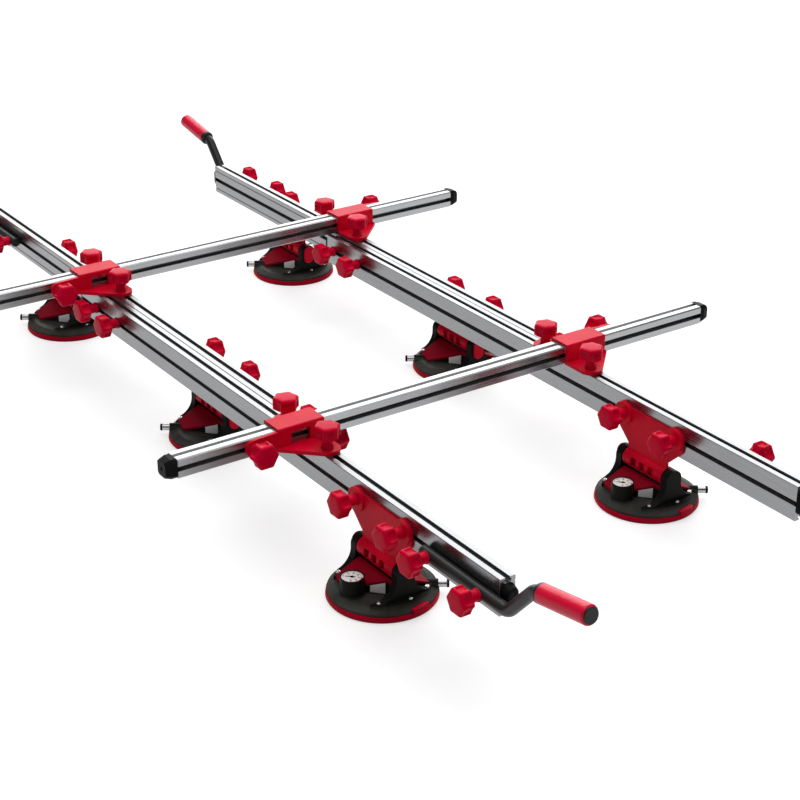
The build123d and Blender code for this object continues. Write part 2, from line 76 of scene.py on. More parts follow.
# %% Helpers
def linear(code):
    """An sRGB hex colour as linear RGBA."""
    channels = [int(code[i:i + 2], 16) / 255 for i in (1, 3, 5)]
    return [c / 12.92 if c <= 0.04045 else ((c + 0.055) / 1.055) ** 2.4 for c in channels] + [1.0]


def add(tree, kind, sockets=None, **settings):
    """Adds a node, with its settings, and sets or links its sockets."""
    made = tree.nodes.new(kind)
    for key, value in settings.items():
        setattr(made, key, value)
    for key, value in (sockets or {}).items():
        if isinstance(value, bpy.types.NodeSocket):
            tree.links.new(value, made.inputs[key])
        else:
            made.inputs[key].default_value = value
    return made


def new_finish(name):
    """An empty material and its tree."""
    material = bpy.data.materials.new(name)
    material.use_nodes = True
    material.node_tree.nodes.clear()
    return material, material.node_tree


print("a middle grey in linear light:", [round(c, 3) for c in linear("#808080")])

# %% [markdown]
# ## Extruded aluminium
# The profiles are pressed through a die, which leaves fine lines along their length, and then anodised to
# a satin silver. The lines are a noise that is stretched along the profile: they change the roughness,
# and with it the sharpness of what the metal mirrors. Real die lines are some tenths of a millimetre
# apart. They are drawn 1.2 mm apart here, because finer ones would not show. Little light reaches the
# inside of the slots: an Ambient Occlusion node finds these places and paints them near black and not
# metallic, a painted shade. The crossbars' upper slots lie open to the overhead light, and are painted
# pale grey inside instead, a painted light.

# %% Aluminium finish
DIE_LINE, DIE_RUN, SMUDGE = 1.2, 700, 90
SLOT_REACH, PROFILE_EDGE = 14, 0.5
UPPER_BAR_SLOT, OVER_ALL = 193, 1000


def extruded_aluminium(name, bright, dull, along, painted_light_above):
    """Satin anodised extrusion with die lines along X (0) or Y (1).

    Every slot is painted dark inside, a painted shade; above the height given in millimetres as the last
    argument, the slots are painted pale inside, a painted light.
    """
    material, tree = new_finish(name)
    place = add(tree, "ShaderNodeTexCoord").outputs["Object"]
    stretch = [1 / (DIE_LINE * MM)] * 3
    stretch[along] = 1 / (DIE_RUN * MM)
    lined = add(tree, "ShaderNodeMapping", {"Vector": place, "Scale": stretch})
    lines = add(tree, "ShaderNodeTexNoise", {"Vector": lined.outputs["Vector"], "Scale": 1.0, "Detail": 3.0})
    smudge = add(tree, "ShaderNodeTexNoise", {"Vector": place, "Scale": 1 / (SMUDGE * MM), "Detail": 4.0})
    both = add(tree, "ShaderNodeMath", {0: lines.outputs["Fac"], 1: smudge.outputs["Fac"]}, operation="ADD")
    rough = add(tree, "ShaderNodeMapRange", {
        "Value": both.outputs["Value"], "From Min": 0.7, "From Max": 1.3, "To Min": 0.2, "To Max": 0.36,
    })
    tint = add(tree, "ShaderNodeMix", {
        "Factor": lines.outputs["Fac"], "A": linear(bright), "B": linear(dull),
    }, data_type="RGBA")
    open_sky = add(tree, "ShaderNodeAmbientOcclusion", {"Distance": SLOT_REACH * MM}, samples=12)
    slot_paint_mask = add(tree, "ShaderNodeMapRange", {
        "Value": open_sky.outputs["AO"], "From Min": 0.3, "From Max": 0.62,
    })
    height = add(tree, "ShaderNodeSeparateXYZ", {"Vector": place}).outputs["Z"]
    above = add(tree, "ShaderNodeMath", {0: height, 1: painted_light_above * MM}, operation="GREATER_THAN")
    # Painted shade: the slots turn near black inside; above the given height they are painted pale, a
    # painted light.
    painted_slot_shade_and_light = add(tree, "ShaderNodeMix", {
        "Factor": above.outputs["Value"], "A": linear("#141414"), "B": linear("#D8D8D8"),
    }, data_type="RGBA")
    shaded = add(tree, "ShaderNodeMix", {
        "Factor": slot_paint_mask.outputs["Result"], "A": painted_slot_shade_and_light.outputs["Result"], "B": tint.outputs["Result"],
    }, data_type="RGBA")
    edge = add(tree, "ShaderNodeBevel", {"Radius": PROFILE_EDGE * MM}, samples=4)
    bump = add(tree, "ShaderNodeBump", {
        "Height": lines.outputs["Fac"], "Strength": 0.15, "Distance": 0.02 * MM,
        "Normal": edge.outputs["Normal"],
    })
    # Inside the slots the metal is turned off too, as part of the painted shade.
    shader = add(tree, "ShaderNodeBsdfPrincipled", {
        "Base Color": shaded.outputs["Result"], "Roughness": rough.outputs["Result"],
        "Normal": bump.outputs["Normal"], "Metallic": slot_paint_mask.outputs["Result"], "Specular IOR Level": 0.2,
    })
    add(tree, "ShaderNodeOutputMaterial", {"Surface": shader.outputs["BSDF"]})
    return material


# Soft, slightly streaked mirrors: the rails a little darker than the crossbars, and painted black inside
# every slot, a painted shade.
rail_aluminium = extruded_aluminium(
    "rail_anodised_aluminium", "#939496", "#8B8C8E", along=1, painted_light_above=OVER_ALL,
)
# A paler silver, with painted white lines where the upper slots catch the light, a painted light.
crossbar_aluminium = extruded_aluminium(
    "crossbar_anodised_aluminium", "#A8A9AB", "#A0A1A3", along=0, painted_light_above=UPPER_BAR_SLOT,
)
print("made", rail_aluminium.name, "and", crossbar_aluminium.name)

# %% [markdown]
# ## Coated and moulded surfaces
# The clamps and brackets are powder coated, the knobs, covers and housings are moulded, and the pads are
# rubber. They share a build: a slow cloudy change of colour, a fine grain in the relief (the skin of a
# powder coat or the etched face of a mould), rounded edges, and a paler line along the edges, partly wear
# from handling and partly a painted highlight. The edge line comes from comparing the true normal with
# one that a Bevel node has rounded. Windows and inner corners get painted shade: an Ambient Occlusion
# node finds them and darkens the colour there. A finish may also change its colour at a height.

# %% Build of a coloured surface
CLOUD, NOOK_REACH, TONE_STEP = 45, 11, 0.8


def surface(name, tint, shade, worn_and_highlit, roughness, grain, relief, edge, wear_and_highlight, above=None, **sockets):
    """A coloured surface with grain (its size), relief (its height), rounded edges, in millimetres, and
    paler edges as wear and painted highlight.

    above is a height in millimetres and the colour that the surface has over it.
    """
    material, tree = new_finish(name)
    place = add(tree, "ShaderNodeTexCoord").outputs["Object"]
    cloud = add(tree, "ShaderNodeTexNoise", {"Vector": place, "Scale": 1 / (CLOUD * MM), "Detail": 5.0})
    skin = add(tree, "ShaderNodeTexNoise", {"Vector": place, "Scale": 1 / (grain * MM), "Detail": 2.0})
    soft = add(tree, "ShaderNodeMapRange", {
        "Value": cloud.outputs["Fac"], "From Min": 0.35, "From Max": 0.65,
    })
    body = add(tree, "ShaderNodeMix", {
        "Factor": soft.outputs["Result"], "A": linear(tint), "B": linear(shade),
    }, data_type="RGBA")
    if above:
        height = add(tree, "ShaderNodeSeparateXYZ", {"Vector": place}).outputs["Z"]
        upper = add(tree, "ShaderNodeMapRange", {
            "Value": height,
            "From Min": (above[0] - TONE_STEP) * MM, "From Max": (above[0] + TONE_STEP) * MM,
        })
        body = add(tree, "ShaderNodeMix", {
            "Factor": upper.outputs["Result"], "A": body.outputs["Result"], "B": linear(above[1]),
        }, data_type="RGBA")
    rounded = add(tree, "ShaderNodeBevel", {"Radius": edge * MM}, samples=4)
    true = add(tree, "ShaderNodeNewGeometry")
    same = add(tree, "ShaderNodeVectorMath", {
        0: rounded.outputs["Normal"], 1: true.outputs["Normal"],
    }, operation="DOT_PRODUCT")
    # Paler edges, partly wear from handling and partly a painted highlight.
    wear_and_highlight_mask = add(tree, "ShaderNodeMapRange", {
        "Value": same.outputs["Value"], "From Min": 0.96, "From Max": 0.75, "To Max": wear_and_highlight,
    })
    colour = add(tree, "ShaderNodeMix", {
        "Factor": wear_and_highlight_mask.outputs["Result"], "A": body.outputs["Result"], "B": linear(worn_and_highlit),
    }, data_type="RGBA")
    # Painted shade: inner corners and windows that the occlusion finds are darkened towards near black.
    open_air = add(tree, "ShaderNodeAmbientOcclusion", {"Distance": NOOK_REACH * MM}, samples=8)
    painted_corner_shade = add(tree, "ShaderNodeMapRange", {
        "Value": open_air.outputs["AO"], "From Min": 0.25, "From Max": 0.6, "To Min": 0.12,
    })
    colour = add(tree, "ShaderNodeMix", {
        "Factor": painted_corner_shade.outputs["Result"], "A": linear("#060606"), "B": colour.outputs["Result"],
    }, data_type="RGBA")
    rough = add(tree, "ShaderNodeMapRange", {
        "Value": skin.outputs["Fac"], "From Min": 0.3, "From Max": 0.7,
        "To Min": roughness - 0.06, "To Max": roughness + 0.06,
    })
    bump = add(tree, "ShaderNodeBump", {
        "Height": skin.outputs["Fac"], "Strength": 0.5, "Distance": relief * MM,
        "Normal": rounded.outputs["Normal"],
    })
    shader = add(tree, "ShaderNodeBsdfPrincipled", {
        "Base Color": colour.outputs["Result"], "Roughness": rough.outputs["Result"],
        "Normal": bump.outputs["Normal"], **sockets,
    })
    add(tree, "ShaderNodeOutputMaterial", {"Surface": shader.outputs["BSDF"]})
    return material


print("clouds", CLOUD, "mm wide, nooks up to", NOOK_REACH, "mm deep")

# %% [markdown]
# ## Five reds
# The red pieces are five materials, and how each one takes the light tells them apart. The specular level
# is how much of the surroundings lies over the colour as gloss. It is lowest on the matt mouldings, which
# keeps their red deep beside a white floor, and highest on the grips, which show long soft highlights.

# %% Red finishes
SATIN = {"IOR": 1.5, "Specular IOR Level": 0.05}
SHEEN = {"IOR": 1.5, "Specular IOR Level": 0.08}
GLOSS = {"IOR": 1.5, "Specular IOR Level": 0.25}
# Baked powder on the clamps and brackets: an even skin with a slight orange peel, and paler corners,
# partly wear and partly a painted highlight.
red_coat = surface(
    "red_powder_coat", "#DE002C", "#D00028", "#EC4458",
    roughness=0.4, grain=1.4, relief=0.03, edge=0.8, wear_and_highlight=0.3, **SHEEN,
)
# Knobs from a polished mould: a smooth, strong red whose edges are paler, partly wear where hands turn
# them and partly a painted highlight.
red_abs = surface(
    "red_moulded_abs", "#DC0032", "#CE002D", "#F2607A",
    roughness=0.34, grain=0.9, relief=0.02, edge=1.0, wear_and_highlight=0.4, **SATIN,
)
# Bridge covers from an etched mould: a dull red, painted darker than the others as painted shade for the
# shade that the barrel casts on them.
shade_darkened_red_cover = surface(
    "red_cover_abs_painted_shade", "#980020", "#8A001C", "#B83A50",
    roughness=0.6, grain=0.9, relief=0.02, edge=1.0, wear_and_highlight=0.25, **SATIN,
)
# Grips of soft plastic, slipped over the bars: the brightest red, and shiny.
red_grip = surface(
    "red_soft_pvc", "#EC003A", "#DE0035", "#F0506A",
    roughness=0.3, grain=0.8, relief=0.03, edge=1.2, wear_and_highlight=0.15, **GLOSS,
)
# Pressed rubber pads: a matt red with soft edges.
red_rubber = surface(
    "red_pad_rubber", "#C80029", "#B80024", "#D83450",
    roughness=0.5, grain=0.7, relief=0.03, edge=0.9, wear_and_highlight=0.2, **SATIN,
)
print("reds:", [finish.name for finish in (red_coat, red_abs, shade_darkened_red_cover, red_grip, red_rubber)])

# %% [markdown]
# ## Three blacks
# None of the black pieces is truly black, because a pure black shows no form. The cup housings are
# greyest on their base, below 22 mm, and darker on the ears and feet above it.

# %% Black finishes
BASE_TOP = 22
# Housings and gauges: a grey-black base with pale edges, partly wear and partly a painted highlight,
# nearly black above it.
black_abs = surface(
    "black_moulded_abs", "#464642", "#31312D", "#4A4A45",
    roughness=0.42, grain=0.8, relief=0.03, edge=0.9, wear_and_highlight=0.3, above=(BASE_TOP, "#171715"), **SATIN,
)
# Plugs, caps and buttons: a dense, even black.
black_nylon = surface(
    "black_moulded_nylon", "#161616", "#101010", "#343434",
    roughness=0.46, grain=0.9, relief=0.03, edge=0.8, wear_and_highlight=0.3, **SATIN,
)
# Handle bars: a smooth lacquer that carries a pale highlight along the tube.
black_coat = surface(
    "black_satin_coat", "#2A2A2A", "#222222", "#505050",
    roughness=0.34, grain=1.3, relief=0.02, edge=0.6, wear_and_highlight=0.3, **GLOSS,
)
print("blacks:", [finish.name for finish in (black_abs, black_nylon, black_coat)])

# %% [markdown]
# ## Card, foil and ink
# The dials are printed card behind a clear window, and the plates on the cups are plain foil. The window
# is a thin clear coat on the card, so that it glints without a pane that would hide the marks.

# %% Printed finishes
# Coated card: a clean white with a sharp glint over it.
white_print = surface(
    "white_printed_card", "#FAFAF8", "#F4F4F1", "#FFFFFF",
    roughness=0.5, grain=0.4, relief=0.005, edge=0.1, wear_and_highlight=0.1,
    **{"Coat Weight": 0.3, "Coat Roughness": 0.03},
)
# Foil: a pale plate that is smoother than what it lies on.
plate_foil = surface(
    "pale_foil_plate", "#FAFAFA", "#F0F0F0", "#FFFFFF",
    roughness=0.3, grain=0.5, relief=0.005, edge=0.2, wear_and_highlight=0.2,
)
# Inks: flat and dull, so that the numbers stay readable.
ink = surface(
    "black_print_ink", "#151515", "#101010", "#202020",
    roughness=0.6, grain=0.4, relief=0.002, edge=0.05, wear_and_highlight=0.0, **SATIN,
)
red_ink = surface(
    "red_print_ink", "#B8102A", "#A80C24", "#C02038",
    roughness=0.6, grain=0.4, relief=0.002, edge=0.05, wear_and_highlight=0.0, **SATIN,
)
print("prints:", [finish.name for finish in (white_print, plate_foil, ink, red_ink)])

# %% [markdown]
# ## Bright steel
# The plungers are turned steel, the screws are chromed and the nuts are zinc plated. Turning leaves rings
# round the axis. On parts this small a fine noise in the roughness is enough to break up the reflections.

# %% Steel finishes
STEEL_EDGE = 0.3


def steel(name, bright, dull, low, high, grain):
    """Bare or plated steel whose roughness changes between low and high at this grain, in millimetres."""
    material, tree = new_finish(name)
    place = add(tree, "ShaderNodeTexCoord").outputs["Object"]
    streak = add(tree, "ShaderNodeTexNoise", {"Vector": place, "Scale": 1 / (grain * MM), "Detail": 4.0})
    rough = add(tree, "ShaderNodeMapRange", {
        "Value": streak.outputs["Fac"], "From Min": 0.3, "From Max": 0.7, "To Min": low, "To Max": high,
    })
    tint = add(tree, "ShaderNodeMix", {
        "Factor": streak.outputs["Fac"], "A": linear(bright), "B": linear(dull),
    }, data_type="RGBA")
    edge = add(tree, "ShaderNodeBevel", {"Radius": STEEL_EDGE * MM}, samples=4)
    shader = add(tree, "ShaderNodeBsdfPrincipled", {
        "Base Color": tint.outputs["Result"], "Roughness": rough.outputs["Result"],
        "Normal": edge.outputs["Normal"], "Metallic": 1.0,
    })
    add(tree, "ShaderNodeOutputMaterial", {"Surface": shader.outputs["BSDF"]})
    return material


# From a brushed grey, over a clear mirror, to a dull silver.
turned_steel = steel("turned_steel", "#C2C2C4", "#9C9C9F", low=0.14, high=0.3, grain=1.1)
chrome = steel("chromed_steel", "#E2E2E4", "#C8C8CB", low=0.05, high=0.14, grain=0.8)
zinc = steel("zinc_plated_steel", "#B9BAB8", "#94958F", low=0.28, high=0.42, grain=1.0)
print("steels:", [finish.name for finish in (turned_steel, chrome, zinc)])

# %% [markdown]
# ## Finishes on the solids
# A solid's finish follows from the end of its name. The meshes of the solids stay as they are: only the
# material in their slots changes.

# %% Dress the solids
finish_of = {
    "rail": rail_aluminium,
    "crossbar": crossbar_aluminium,
    "end_plugs": black_nylon,
    "cross_clamp": red_coat,
    "cup_brackets": red_coat,
    "clamp_knobs": red_abs,
    "handle_bar": black_coat,
    "handle_grip": red_grip,
    "housing": black_abs,
    "gauge": black_abs,
    "bridge": shade_darkened_red_cover,
    "pad": red_rubber,
    "plunger": turned_steel,
}
for name, solid in nodes.items():
    finish = next(value for ending, value in finish_of.items() if name.endswith(ending))
    solid.data.materials.clear()
    solid.data.materials.append(finish)
print("dressed", len(nodes), "solids")

# %% [markdown]
# ## Shapes from rings
# Knobs and screws are round or nearly round things, so a stack of closed rings gives their outside: each
# ring is a list of points, and neighbours are joined by quads. The helper closes both ends, points every
# face outwards and keeps edges sharper than 35 degrees crisp.

# %% Skin a stack of rings
CRISP_ANGLE = 35


def skin(name, rings):
    """A closed mesh through rings of equal length, given in millimetres from the bottom up."""
    shape = bmesh.new()
    layers = [[shape.verts.new(Vector(point) * MM) for point in ring] for ring in rings]
    count = len(layers[0])
    for low, high in zip(layers, layers[1:]):
        for i in range(count):
            shape.faces.new((low[i], low[(i + 1) % count], high[(i + 1) % count], high[i]))
    shape.faces.new(layers[0][::-1])
    shape.faces.new(layers[-1])
    bmesh.ops.recalc_face_normals(shape, faces=shape.faces)
    mesh = bpy.data.meshes.new(name)
    shape.to_mesh(mesh)
    shape.free()
    mesh.shade_smooth()
    mesh.set_sharp_from_angle(angle=radians(CRISP_ANGLE))
    return mesh


def circle(radius, height, count=32):
    """A ring of points at this height."""
    angles = [2 * pi * i / count for i in range(count)]
    return [(radius * cos(angle), radius * sin(angle), height) for angle in angles]


def hexagon(radius, height, count=24):
    """A ring of points on a hexagon of this corner radius."""
    ring = []
    for i in range(count):
        angle = 2 * pi * i / count
        reach = radius * cos(pi / 6) / cos((angle + pi / 6) % (pi / 3) - pi / 6)
        ring.append((reach * cos(angle), reach * sin(angle), height))
    return ring


print("points on a ring:", len(circle(1, 0)), "on a circle,", len(hexagon(1, 0)), "on a hexagon")

# %% [markdown]
# ## The clamp knob
# Every joint of the frame is held by the same moulded knob: a six sided grip with rounded corners, a
# rounded oblong dish for the fingers in each side, and a hub that bears on the clamped plate. The side
# wall is drawn as points at an angle and a height. Its radius is that of a rounded hexagon, and it drops
# inside the dish, fast at the rim and flat in the middle.

# %% Knob wall
KNOB_RADIUS, KNOB_CORNER, KNOB_LENGTH, HUB_RADIUS, HUB_LENGTH = 22.5, 4, 26, 9, 14
DISH_HALF, DISH_LOW, DISH_HIGH, DISH_DEPTH = 8.0, 5.0, 20.5, 3.0
FLAT = KNOB_RADIUS * cos(pi / 6)


def side_radius(angle):
    """The rounded hexagon's radius at an angle from the middle of one of its flats."""
    across = FLAT - KNOB_CORNER
    half = across * tan(pi / 6)
    if abs(FLAT * tan(angle)) <= half:
        return FLAT / cos(angle)
    along = across * cos(angle) + half * sin(abs(angle))
    return along + sqrt(KNOB_CORNER ** 2 - across ** 2 - half ** 2 + along ** 2)


def dish(sideways, height):
    """How far the wall drops at this place on a flat."""
    middle, half = (DISH_LOW + DISH_HIGH) / 2, (DISH_HIGH - DISH_LOW) / 2
    share = (abs(sideways) / DISH_HALF) ** 4 + (abs(height - middle) / half) ** 4
    return DISH_DEPTH * sqrt(max(0.0, 1 - share))


print("knob:", round(2 * FLAT, 1), "mm over flats,", round(2 * side_radius(pi / 6), 1), "mm over corners")

# %% [markdown]
# ## From hub to cap
# The rings follow the knob from its hub to its cap. The rear tapers to the hub, and the front is rounded
# over in a quarter circle and ends in a flat cap. Points stand closest at the rim of the dish, in angle
# and in height, so that it stays crisp.

# %% Knob shape
HUB_LIP, FRONT_ROUND, CAP_RISE = 1.5, 5, 0.3
half_steps = [5, 10, 15, 18.5, 20.8, 22.1, 23, 26.5]
steps = [-30] + [-step for step in half_steps[::-1]] + [0] + half_steps
taper = [(0.3, 8.5), (2, 6), (4, 3), (5.5, 1)]
heights = [6.2, 7, 8.2, 10, 12.5, 15, 17.2, 18.6, 19.6, 20.3, 20.7]


def knob_ring(height, inset=0.0, share=1.0):
    """A ring round the knob at this height above its rear face."""
    ring = []
    for flat in range(6):
        for step in steps:
            angle = radians(step)
            reach = side_radius(angle)
            reach -= max(dish(reach * sin(angle), height), inset)
            turn = angle + radians(30 + 60 * flat)
            ring.append((share * reach * cos(turn), share * reach * sin(turn), HUB_LENGTH + height))
    return ring


around = 6 * len(steps)
knob_rings = [circle(HUB_RADIUS + HUB_LIP, 0, around), circle(HUB_RADIUS + HUB_LIP, 1.6, around)]
knob_rings += [circle(HUB_RADIUS, 2.4, around), circle(HUB_RADIUS, HUB_LENGTH - 0.6, around)]
knob_rings += [circle(HUB_RADIUS + 0.8, HUB_LENGTH, around)]
knob_rings += [knob_ring(height, inset) for height, inset in taper]
knob_rings += [knob_ring(height) for height in heights]
for angle in range(12, 90, 12):
    drop, inset = FRONT_ROUND * (1 - sin(radians(angle))), FRONT_ROUND * (1 - cos(radians(angle)))
    knob_rings.append(knob_ring(KNOB_LENGTH - CAP_RISE - drop, inset))
knob_rings += [knob_ring(KNOB_LENGTH - 0.1, FRONT_ROUND, 0.7), knob_ring(KNOB_LENGTH, FRONT_ROUND, 0.25)]
knob_mesh = skin("knob_shape", knob_rings)
print("knob:", len(knob_mesh.polygons), "faces")

# %% [markdown]
# ## One tree for what repeats
# Forty knobs, their studs and nuts, and the screws are copies of a few shapes. A Geometry Nodes tree puts
# a shape on every point of a mesh, turned and sized by two attributes of the points. The copies are made
# real, because an exported model keeps no instances.

# %% Build the tree
repeat = bpy.data.node_groups.new("repeat_on_points", "GeometryNodeTree")
for title, way, kind in (
    ("Points", "INPUT", "NodeSocketGeometry"),
    ("Shape", "INPUT", "NodeSocketObject"),
    ("Finish", "INPUT", "NodeSocketMaterial"),
    ("Copies", "OUTPUT", "NodeSocketGeometry"),
):
    repeat.interface.new_socket(title, in_out=way, socket_type=kind)
given = add(repeat, "NodeGroupInput")
shape_of = add(repeat, "GeometryNodeObjectInfo", {"Object": given.outputs["Shape"]})
turned = add(repeat, "GeometryNodeInputNamedAttribute", {"Name": "turn"}, data_type="FLOAT_VECTOR")
sized = add(repeat, "GeometryNodeInputNamedAttribute", {"Name": "size"}, data_type="FLOAT_VECTOR")
rotation = add(repeat, "FunctionNodeEulerToRotation", {"Euler": turned.outputs["Attribute"]})
copies = add(repeat, "GeometryNodeInstanceOnPoints", {
    "Points": given.outputs["Points"], "Instance": shape_of.outputs["Geometry"],
    "Rotation": rotation.outputs["Rotation"], "Scale": sized.outputs["Attribute"],
})
real = add(repeat, "GeometryNodeRealizeInstances", {"Geometry": copies.outputs["Instances"]})
painted = add(repeat, "GeometryNodeSetMaterial", {
    "Geometry": real.outputs["Geometry"], "Material": given.outputs["Finish"],
})
add(repeat, "NodeGroupOutput", {"Copies": painted.outputs["Geometry"]})
print("tree:", len(repeat.nodes), "nodes")

# %% [markdown]
# ## From tree to mesh
# A modifier runs a tree on an object. Its inputs are set by the sockets' identifiers, and what the tree
# makes is then stored as a plain mesh and the modifier removed, so that each body of the lifter gets its
# own mesh. The second helper writes the points and their two attributes from a list of matrices.

# %% Run a tree
def run_tree(name, tree, mesh, **inputs):
    """An object whose mesh is what the tree makes of a mesh with these inputs."""
    holder = bpy.data.objects.new(name, mesh)
    bpy.context.scene.collection.objects.link(holder)
    modifier = holder.modifiers.new("grow", "NODES")
    modifier.node_group = tree
    for socket in tree.interface.items_tree:
        if socket.item_type == "SOCKET" and socket.in_out == "INPUT" and socket.name in inputs:
            modifier[socket.identifier] = inputs[socket.name]
    holder.update_tag()
    seen = holder.evaluated_get(bpy.context.evaluated_depsgraph_get())
    made = bpy.data.meshes.new_from_object(seen)
    holder.modifiers.remove(modifier)
    holder.data = made
    made.name = name
    return holder


def repeat_at(name, shape, places, finish, sizes=None):
    """Copies of a mesh at these matrices, as one object."""
    points = bpy.data.meshes.new(name + "_points")
    points.from_pydata([place.translation for place in places], [], [])
    turns = points.attributes.new("turn", "FLOAT_VECTOR", "POINT")
    scale = points.attributes.new("size", "FLOAT_VECTOR", "POINT")
    for i, place in enumerate(places):
        turns.data[i].vector = place.to_euler()
        scale.data[i].vector = sizes[i] if sizes else (1, 1, 1)
    pattern = bpy.data.objects.new(name + "_pattern", shape)
    bpy.context.scene.collection.objects.link(pattern)
    made = run_tree(name, repeat, points, Shape=pattern, Finish=finish)
    bpy.data.objects.remove(pattern)
    return made


print("inputs:", [item.name for item in repeat.interface.items_tree if item.in_out == "INPUT"])

# %% [markdown]
# ## Where the knobs sit
# A rail profile is worked out in its own directions: X from the plane between the two profiles to its
# outer face, Y towards its free end. Both rear profiles stand as drawn and both front ones are turned by
# half a turn. Two knobs hold each cup bracket, two lock the profile to its neighbour, two hold the
# handle, and three hold the clamp: two in the rail's top slot and one in the crossbar's side slot. A
# knob's stack is the thickness between the slotted face and the knob's hub. Each knob also has a turn
# about its own axis, where tightening left it: the ones on upright rail faces stop with a flat up, and
# the ones on top stop a little askew.

# %% Knob places
RAIL_WIDTH, PAIR_GAP, PAIR_SPACING, PAIR_SHIFT = 28, 0.3, 538, -15
SLOT_HEIGHT, RAIL_TOP, CUP_STATION, RAIL_REACH, STAGGER = 139.5, 169.5, 620, 912, 39
BAR_SIZE, BAR_GAP, BAR_STATION = 33, 0.3, {"front": 382, "rear": 399}
BRACKET_KNOB, BRACKET_STACK = 62.5, 8
LOCK_STATIONS = (-274, -364)
HANDLE_KNOBS, HANDLE_STACK = (25, 150), 19.2
LUG_KNOB, LUG_STACK, ARM_KNOB, ARM_STACK = 62.8, 6, 108, 6.3
FLAT_UP, ASKEW = 30, -16
OUTER, MATING, MIDDLE = PAIR_GAP / 2 + RAIL_WIDTH, PAIR_GAP / 2, PAIR_GAP / 2 + RAIL_WIDTH / 2


def at(x, y, z, turn=(0, 0, 0)):
    """A matrix for a place in millimetres and a turn in degrees."""
    spin = Euler([radians(t) for t in turn]).to_matrix().to_4x4()
    return Matrix.Translation(Vector((x, y, z)) * MM) @ spin


def knob_places(end, hand):
    """The matrix, the stack and the turn about its own axis of every knob on one profile."""
    side = 1 if hand == "right" else -1
    profile = at(PAIR_SHIFT + side * PAIR_SPACING / 2, 0, 0, (0, 0, 180 if end == "front" else 0))
    outboard = (end == "rear") == (hand == "right")
    free_end = RAIL_REACH if outboard else RAIL_REACH + STAGGER
    spots = []
    for station in ([CUP_STATION] if end == "front" else [0, CUP_STATION]):
        for offset in (-BRACKET_KNOB, BRACKET_KNOB):
            spots.append((at(OUTER, station + offset, SLOT_HEIGHT, (0, 90, 0)), BRACKET_STACK, FLAT_UP))
    for station in LOCK_STATIONS:
        spots.append((at(-MATING, station, SLOT_HEIGHT, (0, 90, 0)), PAIR_GAP + RAIL_WIDTH, FLAT_UP))
    for distance in HANDLE_KNOBS:
        face, way = (OUTER, 90) if outboard else (MATING, -90)
        spots.append((at(face, free_end - distance, SLOT_HEIGHT, (0, way, 0)), HANDLE_STACK, FLAT_UP))
    clamp = at(MIDDLE, BAR_STATION[end], RAIL_TOP, (0, 0, 180 if outboard else 0))
    for y in (LUG_KNOB, -LUG_KNOB):
        spots.append((clamp @ at(0, y, 0), LUG_STACK, ASKEW))
    spots.append((clamp @ at(-ARM_KNOB, -BAR_SIZE / 2, BAR_GAP + BAR_SIZE / 2, (90, 0, 0)), ARM_STACK, 0))
    return [(profile @ spot, stack, turn) for spot, stack, turn in spots]


frames = [(end, hand) for end in ("front", "rear") for hand in ("left", "right")]
print("knobs on a rear profile:", len(knob_places("rear", "left")))

# %% [markdown]
# ## Knobs, studs and nuts
# The knob piece stands in for the plain knobs of the solids. Each knob's stud runs through the clamped
# plate to a square nut in the slot, and both are plated steel. The stud's shape is one millimetre long
# and is stretched to the knob's stack and its depth in the slot.

# %% Stud and nut shapes
STUD_RADIUS, STUD_DEPTH, NUT_HALF, NUT_DEPTH = 4.0, 6.2, 6.2, 3.3
stud_mesh = skin("stud_shape", [circle(STUD_RADIUS, 0, 20), circle(STUD_RADIUS, 1, 20)])
nut_rings = []
for inset, height in ((0.5, -2.9), (0, -2.4), (0, -0.5), (0.5, 0)):
    half = NUT_HALF - inset
    corners = ((half, half), (-half, half), (-half, -half), (half, -half))
    nut_rings.append([(x, y, height) for x, y in corners])
nut_mesh = skin("nut_shape", nut_rings)
print("stud:", len(stud_mesh.polygons), "faces, nut:", len(nut_mesh.polygons), "faces")

# %% Put them on
for end, hand in frames:
    body = f"{end}_{hand}"
    places = knob_places(end, hand)
    seats = [spot @ at(0, 0, stack, (0, 0, turn)) for spot, stack, turn in places]
    knobs = repeat_at(f"{body}_knobs", knob_mesh, seats, red_abs)
    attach(knobs, body)
    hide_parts(f"{body}_clamp_knobs")
    roots = [spot @ at(0, 0, -STUD_DEPTH) for spot, stack, turn in places]
    lengths = [(1, 1, stack + STUD_DEPTH) for spot, stack, turn in places]
    studs = repeat_at(f"{body}_studs", stud_mesh, roots, zinc, lengths)
    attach(studs, body)
    slots = [spot @ at(0, 0, -NUT_DEPTH) for spot, stack, turn in places]
    nuts = repeat_at(f"{body}_nuts", nut_mesh, slots, zinc)
    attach(nuts, body)
    print(body, "knobs:", len(places), "faces:", len(knobs.data.polygons))

# %% [markdown]
# ## The cups' screws
# Three screws in each foot hold the housing to its base. They are small pan heads with a hexagon socket.
# A cup's own directions start at its hinge: the joint's record gives the place, and the front cups are
# half turned.

